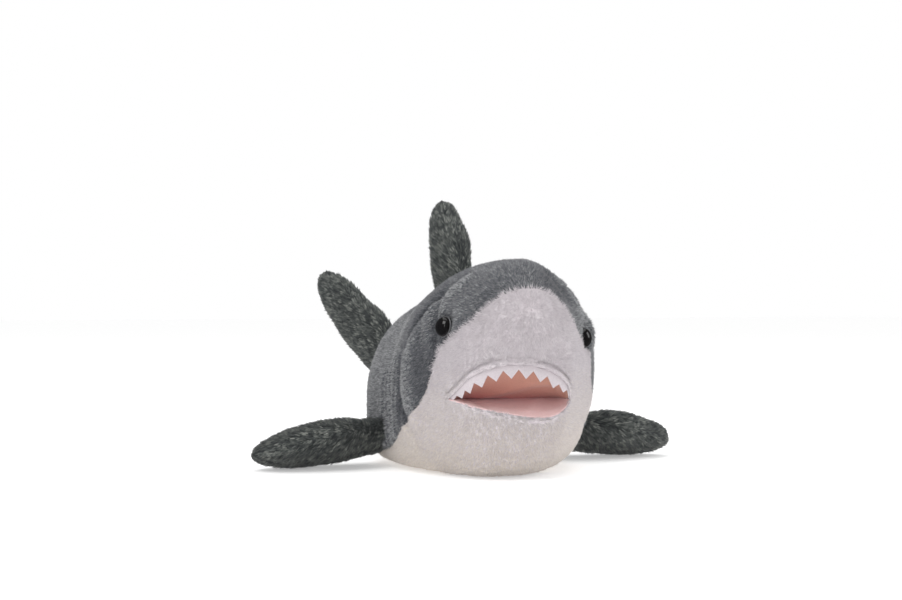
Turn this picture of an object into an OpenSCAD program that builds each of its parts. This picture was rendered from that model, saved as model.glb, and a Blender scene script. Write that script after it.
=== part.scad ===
// Plush shark: stuffed torso, turning head with a closing jaw, flapping fins and a wagging, twisting tail.
// Units are millimetres. The shark faces -Y, its right side is -X, and its belly rests on z = 0.

/* [Body] */
// Widest half-width of the torso
torso_half_w = 63.4; // [60:0.2:64]
// Height of the crown above the floor
crown_h = 132; // [126:1:136]
// Thickness of the body's plush fabric
fabric = 3; // [2:0.25:3.5]
// Thickness of the fins' plush fabric
fin_fabric = 2; // [1.5:0.25:2.5]

/* [Face] */
// Height of the snout tip above the floor
snout_h = 102; // [98:1:106]
// Half-width of the mouth at its corners
mouth_half_w = 36; // [32:1:38]
// Rise of the mouth's arch above its corners
mouth_rise = 21; // [14:1:22]
// Drop of the lower lip below the corners
mouth_drop = 10.5; // [8:0.5:12]
// Diameter of the plastic eyes
eye_d = 12; // [10:0.5:14]
// Number of felt teeth in the upper jaw
tooth_count = 11; // [7:2:13]
// Length of a felt tooth
tooth_len = 7; // [4:0.5:8]

/* [Fins] */
// Stretch of the pectoral fins
pectoral_scale = 1; // [0.9:0.01:1.02]
// Stretch of the dorsal fin
dorsal_scale = 1; // [0.85:0.01:1.1]
// Stretch of the tail fin
tail_fin_scale = 1; // [0.85:0.01:1.05]

/* [Rest pose] */
// How far the head is turned to the shark's right
head_turn = 11; // [0:1:13]
// How far the tail is swung to the shark's right
tail_swing = 14; // [0:1:20]
// How far the tail fin is rolled to the shark's right
tail_roll = 19; // [0:1:28]

/* [Hidden] */

// Stations (s) are distances behind the snout tip. The origin lies this far back, under the belly.
origin_s = 150;
gap = 0.4;              // between neighbouring pieces of one body
joint_gap = 0.8;        // between pieces of two bodies
inside = fabric + gap;  // depth of the stuffing under the surface

// Upright axes of the neck and the tail, with the radius of the round face between the bodies
neck_s = 128;
neck_r = 66;
tail_s = 250;
tail_r = 28;
// Root of the tail fin, where it twists
twist_s = 274;
twist_z = 60;
// Hinge of the jaw, and the wall behind it
jaw_s = 51;
jaw_z = 47.6;
jaw_back_s = 56;
mouth_z = 49;           // corners of the mouth

grey = [0.33, 0.34, 0.36];
fin_grey = [0.27, 0.28, 0.29];
white = [0.92, 0.91, 0.90];
pink = [0.87, 0.62, 0.61];
salmon = [0.78, 0.55, 0.45];
filling = [0.96, 0.96, 0.94];
big = 600;

// ---- Interpolation through control stations ----

// Index of the last control row whose station is at or before s
function row_before(t, s, i = 0) = (i >= len(t) - 2 || s < t[i + 1][0]) ? i : row_before(t, s, i + 1);
// Value of column c at station s, on a smooth curve through the rows
function smooth(t, c, s) =
    let (i = row_before(t, s), a = t[i], b = t[i + 1],
         p = t[max(i - 1, 0)], n = t[min(i + 2, len(t) - 1)],
         w = b[0] - a[0], u = min(max((s - a[0]) / w, 0), 1),
         ma = (b[c] - p[c]) / (b[0] - p[0]) * w, mb = (n[c] - a[c]) / (n[0] - a[0]) * w)
    (2*u*u*u - 3*u*u + 1) * a[c] + (u*u*u - 2*u*u + u) * ma
    + (-2*u*u*u + 3*u*u) * b[c] + (u*u*u - u*u) * mb;

// ---- The body's outer surface ----

// Rows: station, half-width, height of the widest line, top, bottom, squareness above and below
envelope = [
    [0,   27,   snout_h, crown_h - 6, 70, 0.92, 0.9],
    [10,  29,   93, crown_h - 6, 70, 0.92, 0.9],
    [18,  31,   87, crown_h - 3, 70, 0.92, 0.88],
    [26,  34,   82, crown_h - 1, 39, 0.92, 0.85],
    [33,  36.5, 79, crown_h,     22, 0.92, 0.85],
    [42,  40.5, 75, crown_h + 0.5, 11, 0.92, 0.85],
    [55,  46.5, 71, crown_h + 0.5, 5, 0.92, 0.82],
    [80,  torso_half_w - 5.4, 68, crown_h - 1, 1, 0.92, 0.78],
    [100, torso_half_w - 1.6, 60, crown_h - 4, -2, 0.94, 0.66],
    [120, torso_half_w - 0.2, 50, crown_h - 7.5, -3.5, 0.98, 0.54],
    [150, torso_half_w, 46, crown_h - 13.5, -4, 1.04, 0.5],
    [175, torso_half_w - 2.4, 46, crown_h - 19.5, -4, 1.05, 0.52],
    [200, torso_half_w - 10, 49, crown_h - 28, -2.5, 1.03, 0.6],
    [216, 44.5, 52, crown_h - 34.5, 2.5, 1, 0.72],
    [232, 34,   56, crown_h - 41, 14, 0.98, 0.85],
    [250, 23.5, 59, crown_h - 48, 30, 0.95, 0.95],
    [265, 18,   60, crown_h - 52, 38.5, 0.95, 0.95],
    [282, 14.5, 60, crown_h - 55, 43, 0.95, 0.95]
];
nose_len = 30;
chin_len = 18;
function nose(s) = s >= nose_len ? 1 : sqrt(1 - pow(1 - s / nose_len, 2));
function half_w(s) = smooth(envelope, 1, s) * nose(s) + 0.6;
function mid_z(s) = snout_h + (smooth(envelope, 2, s) - snout_h) * min(1, s / 12);
function top_z(s) = snout_h + (smooth(envelope, 3, s) - snout_h) * nose(s) + 0.6;
function low_z(s) = snout_h + (smooth(envelope, 4, s) - snout_h) * pow(min(1, s / chin_len), 0.6) - 0.6;
function power(x, n) = sign(x) * pow(abs(x), n);

// Point of the surface at station s and angle a (0 top, 90 right flank, 180 bottom), inset by d
function skin(s, a, d = 0) =
    let (below = cos(a) < 0, e = smooth(envelope, below ? 6 : 5, s),
         m = mid_z(s), h = below ? m - low_z(s) : top_z(s) - m,
         x = max(half_w(s) - d, 0.3) * power(sin(a), e),
         z = m + max(h - d, 0.3) * power(cos(a), e))
    [-x, s - origin_s, max(z, d + (s > 90 ? 0 : 0.9))];
// Angle at which the lower half of the surface passes height z
function angle_at(s, z) = z <= low_z(s) + 0.01 ? 180
    : 180 - acos(pow((mid_z(s) - z) / (mid_z(s) - low_z(s)), 1 / smooth(envelope, 6, s)));
function unit(v) = v / norm(v);
// Outward direction of the surface
function outward(s, a) = unit(cross(skin(s + 0.5, a) - skin(s - 0.5, a), skin(s, a + 1) - skin(s, a - 1)));

// ---- Solids from grids of points ----

function lerp(a, b, t) = a + (b - a) * t;
function steps(n) = [for (i = [0:n]) i / n];
function flat(rows) = [for (r = rows) for (p = r) p];
function quad(a, b, c, d) = [[a, b, c], [a, c, d]];
// Closed sheet between two grids of points of the same size
module sheet(outer, inner) {
    m = len(outer) - 1;
    n = len(outer[0]) - 1;
    w = n + 1;
    k = (m + 1) * w;
    polyhedron(concat(flat(outer), flat(inner)), concat(
        [for (i = [0:m-1]) for (j = [0:n-1]) each quad(i*w+j, i*w+j+1, (i+1)*w+j+1, (i+1)*w+j)],
        [for (i = [0:m-1]) for (j = [0:n-1]) each quad(k+i*w+j, k+(i+1)*w+j, k+(i+1)*w+j+1, k+i*w+j+1)],
        [for (i = [0:m-1]) each quad(i*w, (i+1)*w, k+(i+1)*w, k+i*w)],
        [for (i = [0:m-1]) each quad(i*w+n, k+i*w+n, k+(i+1)*w+n, (i+1)*w+n)],
        [for (j = [0:n-1]) each quad(j, k+j, k+j+1, j+1)],
        [for (j = [0:n-1]) each quad(m*w+j, m*w+j+1, k+m*w+j+1, k+m*w+j)]
    ));
}
// Middle of a ring's points
function centre(r) = [for (c = [0:2]) [for (p = r) p[c]] * [for (p = r) 1 / len(r)]];
// Closed solid through a row of rings
module loft(rings) {
    n = len(rings[0]);
    m = len(rings) - 1;
    first = len(rings) * n;
    polyhedron(concat(flat(rings), [centre(rings[0]), centre(rings[m])]), concat(
        [for (i = [0:m-1]) for (j = [0:n-1])
            each quad(i*n+j, i*n+(j+1)%n, (i+1)*n+(j+1)%n, (i+1)*n+j)],
        [for (j = [0:n-1]) [first, (j+1)%n, j]],
        [for (j = [0:n-1]) [first+1, m*n+j, m*n+(j+1)%n]]
    ));
}

// ---- Pieces of the body's surface ----

// Panel over the stations, from angle a0[i] to a1[i] at each, in n columns
module patch(stations, a0, a1, n) {
    sheet([for (i = [0:len(stations)-1]) [for (t = steps(n)) skin(stations[i], lerp(a0[i], a1[i], t))]],
          [for (i = [0:len(stations)-1]) [for (t = steps(n)) skin(stations[i], lerp(a0[i], a1[i], t), fabric)]]);
}
// Solid inside the surface, inset by d
module core(stations, d, n) {
    loft([for (s = stations) [for (j = [0:n-1]) skin(s, 360 * (j + 0.5) / n, d)]]);
}
// A panel for the other side
module mirrored() { mirror([1, 0, 0]) children(); }
// Half of a seam's gap, as an angle
function seam(s) = gap * 45 / max(half_w(s), 4);

// Rows: station, angle where grey meets white
grey_line = [[5.2, 0], [6, 34], [8.5, 49], [12.5, 61], [16.5, 70], [22.5, 76], [36, 80], [50, 83.5], [60, 94],
             [66, 101], [74, 108], [84, 111.5], [104, 112], [125, 113.5], [150, 118], [200, 125], [282, 125]];
function grey_a(s) = smooth(grey_line, 1, s);

// ---- Zones that the bodies fill ----

module at_station(s) { translate([0, s - origin_s, 0]) children(); }
module neck_core(r) { at_station(neck_s) translate([0, 0, -50]) cylinder(r = r, h = big, $fn = 128); }
module tail_core(r) { at_station(tail_s) translate([0, 0, -50]) cylinder(r = r, h = big, $fn = 96); }
module before(s) { at_station(s) translate([-big / 2, -big, -50]) cube(big); }
module after(s) { at_station(s) translate([-big / 2, 0, -50]) cube(big); }
// Keeps what lies ahead of the neck's round face, less the mouth and the jaw
module in_head() {
    difference() {
        children();
        neck_core(neck_r + joint_gap);
        after(neck_s);
        mouth_space(0);
    }
}
// Keeps what lies between the round faces of the neck and the tail
module in_torso() {
    difference() {
        children();
        difference() {
            before(neck_s);
            neck_core(neck_r);
        }
        tail_core(tail_r + joint_gap);
        after(tail_s);
        for (side = [0, 1]) mirror([side, 0, 0]) pectoral_place() spindle(joint_gap);
        dorsal_place() spindle(joint_gap);
    }
}
// Keeps what lies behind the tail's round face, up to the tail fin
module in_tail() {
    difference() {
        children();
        difference() {
            before(tail_s);
            tail_core(tail_r);
        }
        after(twist_s);
    }
}

// ---- Mouth ----

// Rows: station, share of the mouth's height
arch_rows = [[-5, 1], [26, 1], [36, 0.7], [46, 0.33], [54, 0.06]];
arch_n = 24;
// Half ring of the mouth's arch at station s, up (way 1) or down (way -1), grown by d
function arch(s, share, way, d) = [for (t = steps(arch_n))
    [-(mouth_half_w + d) * cos(180 * t), s - origin_s,
     mouth_z + way * (d - 0.4 + share * (way > 0 ? mouth_rise : mouth_drop) * sin(180 * t))]];
// The open mouth, as a solid
module mouth_arch(way, d) {
    rings = [for (r = arch_rows) arch(r[0], r[1], way, d)];
    foot = [for (r = arch_rows) [for (p = arch(r[0], 0, way, d)) [p[0], p[1], mouth_z - way * 1]]];
    if (way > 0) sheet(foot, rings);
    else sheet(rings, foot);
}
// Side outline pushed across the head
module across(points) {
    translate([big / 2, 0, 0]) rotate([90, 0, -90]) linear_extrude(big)
        polygon([for (p = points) [origin_s - p[0], p[1]]]);
}
// Space of the mouth and the jaw in the head, grown by d
module mouth_space(d) {
    mouth_arch(1, d);
    across([[-20, mouth_z + d], [jaw_back_s + d, mouth_z + d], [jaw_back_s + d, -20], [-20, -20]]);
}
// Keeps the jaw: everything ahead of its back wall, below its sloping top and the mouth, inset by d
module in_jaw(d) {
    slope = 0.15;
    difference() {
        intersection() {
            children();
            across([[-20, jaw_z - d - (jaw_s + 20) * slope], [jaw_s, jaw_z - d],
                    [jaw_back_s - joint_gap - d, jaw_z - d], [jaw_back_s - joint_gap - d, -20], [-20, -20]]);
        }
        mouth_arch(-1, d);
    }
}

// ---- Fins ----

// Rows of a pad: distance out, sweep, half-chord, half-thickness, twist
pectoral_rows = [[1, 0, 19, 2.4, 0], [9, 0, 23, 3.6, 1], [17, -1, 26, 7, 3], [30, -2, 28, 10.5, 4],
                 [46, -2, 27.5, 12, 6], [60, -1, 24.5, 11.5, 9], [73, 0, 19, 9, 12], [82, 1, 12.5, 6, 14],
                 [87.5, 1.5, 4.5, 2.2, 15]];
dorsal_rows = [[1, 0, 19, 2.4, 0], [9, 0, 23, 3.6, 0], [17, 0, 24, 7.5, 0], [28, 0.5, 23, 11, 0],
               [40, 1.5, 20, 11.5, 0], [52, 2.5, 15.5, 10, 0], [61, 3, 11, 7.5, 0], [67, 3, 6.5, 4.5, 0],
               [70, 3, 3, 2, 0]];
upper_lobe_rows = [[0, 0, 17, 11, 0], [12, 1, 22, 12, 0], [30, 2, 24.5, 12, 0], [52, 2, 23.5, 11.5, 0],
                   [72, 1, 20.5, 10.5, 0], [88, 0, 15.5, 8, 0], [97, -1, 10, 5.5, 0], [101, -1, 4, 2.4, 0]];
lower_lobe_rows = [[0, 0, 16, 11, 0], [12, 0, 18, 10.5, 0], [26, 0, 17, 9.5, 0], [40, 0, 13.5, 8, 0],
                   [50, 0, 9, 5.5, 0], [56, 0, 3.5, 2.2, 0]];

// Point of a pad's surface at angle a (0 trailing edge, 90 upper face), inset by d
function pad(r, a, d, k) =
    let (c = k * r[2] - min(d, 0.5 * r[2]), h = k * r[3] - min(d, 0.55 * r[3]),
         y = c * cos(a), z = h * power(sin(a), 0.92))
    [k * r[0] - (r[0] > 60 ? d / 2 : 0), k * r[1] + y * cos(r[4]) - z * sin(r[4]), y * sin(r[4]) + z * cos(r[4])];
pad_n = 16;
module pad_core(rows, k) {
    loft([for (r = rows) [for (j = [0:2*pad_n-1]) pad(r, -180 * (j + 0.5) / pad_n, fin_fabric + gap, k)]]);
}
// Fabric of a pad's upper (way 1) or lower (way -1) face
module pad_panel(rows, k, way) {
    angles = [for (t = steps(pad_n)) way * lerp(2.5, 177.5, t)];
    outer = [for (r = rows) [for (a = angles) pad(r, a, 0, k)]];
    inner = [for (r = rows) [for (a = angles) pad(r, a, fin_fabric, k)]];
    if (way > 0) sheet(inner, outer);
    else sheet(outer, inner);
}
function outer_rows(rows) = [for (i = [1:len(rows)-1]) rows[i]];
// The sewn root that a fin swings on, grown by d
module spindle(d) {
    rotate([-90, 0, 0]) rotate_extrude($fn = 48)
        polygon([[0, -23 - d], [3 + d, -21.5 - d], [5 + d, -15], [5 + d, 15], [3 + d, 21.5 + d], [0, 23 + d]]);
}
module pectoral_place() { translate([62, 154 - origin_s, 21]) rotate([-28, 0, 0]) rotate([0, 6, 0]) children(); }
module dorsal_place() { translate([0, 178 - origin_s, crown_h - 21.5]) rotate([-17, 0, 0]) rotate([0, -90, 0]) children(); }
module fin_stuffing(rows, k) {
    color(filling) union() {
        spindle(0);
        pad_core(rows, k);
    }
}
// Places a lobe of the tail fin, leaning back by lean from upright
module lobe_place(lean) {
    swung_tail() translate([0, twist_s - origin_s, twist_z]) rotate([0, -tail_roll, 0])
        difference() {
            rotate([-lean, 0, 0]) rotate([0, -90, 0]) children();
            translate([-big / 2, joint_gap - big, -big / 2]) cube(big);
            translate([-big / 2, -big / 2, lean < 90 ? gap / 2 - big : -gap / 2]) cube(big);
        }
}
upper_lean = 46;
lower_lean = 140;

// ---- Rest pose ----

module turned_head() {
    at_station(neck_s) rotate([0, 0, -head_turn]) at_station(2 * origin_s - neck_s) children();
}
module swung_tail() {
    at_station(tail_s) rotate([0, 0, tail_swing]) at_station(2 * origin_s - tail_s) children();
}

// ---- Torso ----

torso_stations = [62, 74, 86, 98, 112, 128, 144, 160, 176, 192, 206, 218, 230, 240, 251];
module torso_stuffing() { color(filling) in_torso() core(torso_stations, inside, 36); }
module back_panel() {
    in_torso() patch(torso_stations, [for (s = torso_stations) seam(s)],
                     [for (s = torso_stations) grey_a(s) - seam(s)], 12);
}
module back_panel_right() { color(grey) back_panel(); }
module back_panel_left() { color(grey) mirrored() back_panel(); }
module belly_panel() {
    color(white) in_torso() patch(torso_stations, [for (s = torso_stations) grey_a(s) + seam(s)],
                                  [for (s = torso_stations) 360 - grey_a(s) - seam(s)], 26);
}
// Raised lines of thread on the flank, behind the neck
module gill_stitches() {
    angles = [for (t = steps(8)) lerp(68, 91.5, t)];
    for (s = [114:6:132])
        sheet([for (u = [-1, 0, 1]) [for (a = angles) skin(s + u * 0.9, a, u == 0 ? -1.3 : -0.7)]],
              [for (u = [-1, 0, 1]) [for (a = angles) skin(s + u * 0.9, a, -0.35)]]);
}
module gill_stitches_right() { color(fin_grey) gill_stitches(); }
module gill_stitches_left() { color(fin_grey) mirrored() gill_stitches(); }

// ---- Head ----

head_stations = [0.4, 3, 7, 12, 18, 22, 26, 33, 42, 52, 62, 72, 84, 96, 108, 122];
// Rows that the crown and the muzzle share, so that their edges match
brow_stations = [5.6, 6, 7, 8.5, 10, 12.5, 14, 16.5, 18, 22, 26, 33, 42, 52, 58, 62, 65, 67.5];
crown_stations = concat(brow_stations, [72, 80, 90, 100, 112, 122]);
muzzle_stations = concat([0.4, 2, 4, 5.2], brow_stations);
throat_stations = [54, 60, 66, 72, 80, 90, 100, 112];
eye_s = 52;
eye_a = 71;

module crown_panel() {
    in_head() patch(crown_stations, [for (s = crown_stations) seam(s)],
                    [for (s = crown_stations) grey_a(s) - seam(s)], 12);
}
module muzzle_panel() {
    in_head() patch(muzzle_stations, [for (s = muzzle_stations) grey_a(s) + seam(s)],
                    [for (s = muzzle_stations) min(angle_at(s, mouth_z - 2.5), 180 - seam(s))], 12);
}
module throat_panel() {
    edge = [for (s = throat_stations) max(angle_at(s, mouth_z - 3), grey_a(s) + seam(s))];
    color(white) turned_head() in_head()
        patch(throat_stations, edge, [for (a = edge) 360 - a], 14);
}
// Places an eye or what lies behind it: the surface's outward direction becomes +Z
module at_eye() {
    n = outward(eye_s, eye_a);
    translate(skin(eye_s, eye_a)) rotate([0, acos(n[2]), atan2(n[1], n[0])]) children();
}
shank_r = 2;
shank_len = 10;
washer_r = 9;
washer_t = 1.6;
module eye() {
    at_eye() {
        translate([0, 0, gap]) rotate_extrude($fn = 48)
            polygon([for (a = [0:6:90]) [eye_d / 2 * cos(a), 1 + 4.4 * sin(a)], [0, 0], [eye_d / 2 - 0.6, 0]]);
        translate([0, 0, -shank_len]) cylinder(r = shank_r, h = shank_len + 1, $fn = 32);
    }
}
module eye_washer() {
    at_eye() translate([0, 0, -inside - 2.4]) difference() {
        cylinder(r = washer_r, h = washer_t, $fn = 48);
        translate([0, 0, -1]) cylinder(r = shank_r + 0.3, h = washer_t + 2, $fn = 32);
    }
}
module eye_hole() { at_eye() translate([0, 0, -shank_len - 1]) cylinder(r = shank_r + 0.3, h = 20, $fn = 32); }
module washer_pocket() {
    at_eye() translate([0, 0, -inside - 2.8]) cylinder(r = washer_r + gap, h = 20, $fn = 48);
}
module face_panel(side) {
    mirror([side, 0, 0]) difference() {
        children();
        eye_hole();
    }
}
module crown_panel_right() { color(grey) turned_head() face_panel(0) crown_panel(); }
module crown_panel_left() { color(grey) turned_head() face_panel(1) crown_panel(); }
module muzzle_panel_right() { color(white) turned_head() face_panel(0) muzzle_panel(); }
module muzzle_panel_left() { color(white) turned_head() face_panel(1) muzzle_panel(); }
module eye_right() { color("black") turned_head() eye(); }
module eye_left() { color("black") turned_head() mirrored() eye(); }
module eye_washer_right() { color("white") turned_head() eye_washer(); }
module eye_washer_left() { color("white") turned_head() mirrored() eye_washer(); }
lining = 1.5;
module head_stuffing() {
    color(filling) turned_head() difference() {
        in_head() core([for (i = [1:len(head_stations)-1]) head_stations[i] + 1], inside + 1.3, 48);
        mouth_space(lining + gap);
        for (side = [0, 1]) mirror([side, 0, 0]) {
            eye_hole();
            washer_pocket();
        }
    }
}
module palate_lining() {
    color(salmon) turned_head() difference() {
        intersection() {
            core([for (s = head_stations) s + 1], inside, 36);
            mouth_space(lining);
        }
        mouth_space(0);
    }
}
// Zigzag of felt under the upper lip
module teeth_strip() {
    cols = 2 * tooth_count;
    reach = mouth_half_w - 2.5;
    thick = 1.4;
    function place(i, drop) =
        let (a = 180 * i / cols, x = (reach - drop) * cos(a), s = 22.5 + 17 * pow(abs(cos(a)), 2.4),
             roof = smooth(arch_rows, 1, s + thick) * mouth_rise * sqrt(1 - pow(x / mouth_half_w, 2)))
        [-x, s - origin_s, max(mouth_z + roof - 1.2 - drop * sin(a), mouth_z + 0.4)];
    rows = [for (edge = [0, 1]) [for (i = [0:cols])
        place(i, edge == 0 ? 0 : (i % 2 == 1 ? tooth_len : 1.6))]];
    back = [for (r = rows) [for (p = r) p + [0, thick, 0]]];
    color("white") turned_head() sheet(rows, back);
}

// ---- Jaw ----

jaw_stations = [24.4, 25.5, 27, 29.5, 33, 38, 43, 48, 53, 58];
module chin_panel() {
    edge = [for (s = jaw_stations) angle_at(s, mouth_z - 1)];
    color(white) turned_head() in_jaw(0) patch(jaw_stations, edge, [for (a = edge) 360 - a], 16);
}
module jaw_core() { core([for (s = jaw_stations) s + 3], inside, 36); }
module jaw_stuffing() { color(filling) turned_head() in_jaw(lining + gap) jaw_core(); }
module tongue_lining() {
    color(pink) turned_head() difference() {
        in_jaw(0) jaw_core();
        in_jaw(lining) jaw_core();
    }
}

// ---- Fins ----

module pectoral_stuffing() { pectoral_place() fin_stuffing(pectoral_rows, pectoral_scale); }
module pectoral_panel(way) { color(fin_grey) pectoral_place() pad_panel(outer_rows(pectoral_rows), pectoral_scale, way); }
module pectoral_stuffing_left() { pectoral_stuffing(); }
module pectoral_stuffing_right() { mirrored() pectoral_stuffing(); }
module pectoral_top_panel_left() { pectoral_panel(1); }
module pectoral_top_panel_right() { mirrored() pectoral_panel(1); }
module pectoral_under_panel_left() { pectoral_panel(-1); }
module pectoral_under_panel_right() { mirrored() pectoral_panel(-1); }

module dorsal_stuffing() { dorsal_place() fin_stuffing(dorsal_rows, dorsal_scale); }
module dorsal_panel(way) { color(fin_grey) dorsal_place() pad_panel(outer_rows(dorsal_rows), dorsal_scale, way); }
module dorsal_panel_right() { dorsal_panel(1); }
module dorsal_panel_left() { dorsal_panel(-1); }

// ---- Tail ----

tail_stations = [222, 232, 242, 252, 262, 276];
module tail_stuffing() { color(filling) swung_tail() in_tail() core(tail_stations, inside, 24); }
module tail_panel() {
    color(grey) in_tail() patch(tail_stations, [for (s = tail_stations) seam(s)],
                                [for (s = tail_stations) 180 - seam(s)], 12);
}
module tail_panel_right() { swung_tail() tail_panel(); }
module tail_panel_left() { swung_tail() mirrored() tail_panel(); }

module lobe_stuffing(rows, lean) { color(filling) lobe_place(lean) pad_core(rows, tail_fin_scale); }
module lobe_panel(rows, lean, way) { color(fin_grey) lobe_place(lean) pad_panel(rows, tail_fin_scale, way); }
module upper_lobe_stuffing() { lobe_stuffing(upper_lobe_rows, upper_lean); }
module upper_lobe_panel_right() { lobe_panel(upper_lobe_rows, upper_lean, 1); }
module upper_lobe_panel_left() { lobe_panel(upper_lobe_rows, upper_lean, -1); }
module lower_lobe_stuffing() { lobe_stuffing(lower_lobe_rows, lower_lean); }
module lower_lobe_panel_right() { lobe_panel(lower_lobe_rows, lower_lean, 1); }
module lower_lobe_panel_left() { lobe_panel(lower_lobe_rows, lower_lean, -1); }

torso_stuffing();
back_panel_right();
back_panel_left();
belly_panel();
gill_stitches_right();
gill_stitches_left();
head_stuffing();
crown_panel_right();
crown_panel_left();
muzzle_panel_right();
muzzle_panel_left();
throat_panel();
palate_lining();
teeth_strip();
eye_right();
eye_left();
eye_washer_right();
eye_washer_left();
jaw_stuffing();
chin_panel();
tongue_lining();
pectoral_stuffing_right();
pectoral_top_panel_right();
pectoral_under_panel_right();
pectoral_stuffing_left();
pectoral_top_panel_left();
pectoral_under_panel_left();
dorsal_stuffing();
dorsal_panel_right();
dorsal_panel_left();
tail_stuffing();
tail_panel_right();
tail_panel_left();
upper_lobe_stuffing();
upper_lobe_panel_right();
upper_lobe_panel_left();
lower_lobe_stuffing();
lower_lobe_panel_right();
lower_lobe_panel_left();
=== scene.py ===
"""Plush shark: stuffed fabric pieces with modelled pile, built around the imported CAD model.

Shapes are worked out in millimetres with numpy and turned into metres when a mesh is made.
A station s is a distance behind the snout tip, and an angle a runs round the body: 0 on top,
90 on the shark's right flank (-X), -90 on its left flank, 180 underneath.
"""
import math

import bpy
import numpy as np
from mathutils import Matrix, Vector, kdtree


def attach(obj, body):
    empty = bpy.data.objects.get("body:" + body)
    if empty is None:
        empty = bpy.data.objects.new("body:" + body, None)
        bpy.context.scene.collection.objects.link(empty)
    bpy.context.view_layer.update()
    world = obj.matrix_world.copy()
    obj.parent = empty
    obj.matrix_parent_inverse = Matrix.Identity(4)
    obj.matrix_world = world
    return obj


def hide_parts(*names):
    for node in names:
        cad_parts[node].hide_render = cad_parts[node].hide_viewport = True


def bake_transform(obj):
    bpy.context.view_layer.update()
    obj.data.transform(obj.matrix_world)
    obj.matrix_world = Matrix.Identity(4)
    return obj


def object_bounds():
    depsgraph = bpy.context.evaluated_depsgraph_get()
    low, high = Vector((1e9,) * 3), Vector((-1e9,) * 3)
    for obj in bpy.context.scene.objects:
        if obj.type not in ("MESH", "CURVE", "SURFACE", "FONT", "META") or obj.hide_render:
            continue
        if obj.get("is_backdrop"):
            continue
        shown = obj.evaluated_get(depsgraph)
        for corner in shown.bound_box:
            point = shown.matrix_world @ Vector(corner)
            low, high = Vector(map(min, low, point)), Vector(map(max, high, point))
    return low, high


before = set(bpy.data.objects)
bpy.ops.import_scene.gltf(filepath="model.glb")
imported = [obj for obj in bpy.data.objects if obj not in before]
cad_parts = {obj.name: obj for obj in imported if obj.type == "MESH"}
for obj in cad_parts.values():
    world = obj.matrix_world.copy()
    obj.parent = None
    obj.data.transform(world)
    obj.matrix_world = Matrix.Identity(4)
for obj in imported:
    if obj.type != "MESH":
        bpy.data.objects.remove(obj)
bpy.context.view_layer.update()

SEED = 20
rng = np.random.default_rng(SEED)
TO_M = 0.001

# ---- The body's shape, as in part.scad ----

ORIGIN_S = 150.0
PILE_D, PAD_D = 1.6, 1.3  # the backing lies this far under the outline, on the body and on the fins
NECK_Y, TAIL_Y, TWIST_Y = -22.0, 100.0, 124.0
HEAD_TURN, TAIL_SWING, TAIL_ROLL = -11.0, 14.0, 19.0
SNOUT_Z, NOSE_LEN, CHIN_LEN = 102.0, 30.0, 18.0
MOUTH_Z, MOUTH_HALF_W, MOUTH_RISE, MOUTH_DROP = 49.0, 36.0, 21.0, 10.5
# Station, half-width, height of the widest line, top, bottom, squareness above and below
ENVELOPE = np.array([
    [0, 27, 102, 126, 70, .92, .9], [10, 29, 93, 126, 70, .92, .9], [18, 31, 87, 129, 70, .92, .88],
    [26, 34, 82, 131, 39, .92, .85], [33, 36.5, 79, 132, 22, .92, .85], [42, 40.5, 75, 132.5, 11, .92, .85],
    [55, 46.5, 71, 132.5, 5, .92, .82], [80, 58, 68, 131, 1, .92, .78], [100, 61.8, 60, 128, -2, .94, .66],
    [120, 63.2, 50, 124.5, -3.5, .98, .54], [150, 63.4, 46, 118.5, -4, 1.04, .5],
    [175, 61, 46, 112.5, -4, 1.05, .52], [200, 53.4, 49, 104, -2.5, 1.03, .6],
    [216, 44.5, 52, 97.5, 2.5, 1, .72], [232, 34, 56, 91, 14, .98, .85], [250, 23.5, 59, 84, 30, .95, .95],
    [265, 18, 60, 80, 38.5, .95, .95], [282, 14.5, 60, 77, 43, .95, .95]], float)
# Station and the angle where grey meets white
GREY_LINE = np.array([[5.2, 0], [6, 34], [8.5, 49], [12.5, 61], [16.5, 70], [22.5, 76], [36, 80], [50, 83.5],
                      [60, 94], [66, 101], [74, 108], [84, 111.5], [104, 112], [125, 113.5], [150, 118],
                      [200, 125], [225, 138], [251, 165], [282, 172]], float)
# Station and share of the mouth's height
ARCH = np.array([[-5, 1], [26, 1], [36, .7], [46, .33], [54, .06]], float)
# Distance out, sweep, half-chord, half-thickness, twist
PECTORAL = np.array([[-7, 0, 21, 8, 0], [3, 0, 23.5, 8.5, 0], [17, -1, 26, 9, 3], [30, -2, 28, 10.5, 4],
                     [46, -2, 27.5, 12, 6], [60, -1, 24.5, 11.5, 9], [73, 0, 19, 9, 12], [82, 1, 12.5, 6, 14],
                     [87.5, 1.5, 4.5, 2.2, 15]], float)
DORSAL = np.array([[-9, 0, 21, 8, 0], [3, 0, 23.5, 9, 0], [17, 0, 24, 10, 0], [28, .5, 23, 11, 0],
                   [40, 1.5, 20, 11.5, 0], [52, 2.5, 15.5, 10, 0], [61, 3, 11, 7.5, 0], [67, 3, 6.5, 4.5, 0],
                   [70, 3, 3, 2, 0]], float)
UPPER_LOBE = np.array([[0, 0, 17, 11, 0], [12, 1, 22, 12, 0], [30, 2, 24.5, 12, 0], [52, 2, 23.5, 11.5, 0],
                       [72, 1, 20.5, 10.5, 0], [88, 0, 15.5, 8, 0], [97, -1, 10, 5.5, 0],
                       [101, -1, 4, 2.4, 0]], float)
LOWER_LOBE = np.array([[0, 0, 16, 11, 0], [12, 0, 18, 10.5, 0], [26, 0, 17, 9.5, 0], [40, 0, 13.5, 8, 0],
                       [50, 0, 9, 5.5, 0], [56, 0, 3.5, 2.2, 0]], float)


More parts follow.
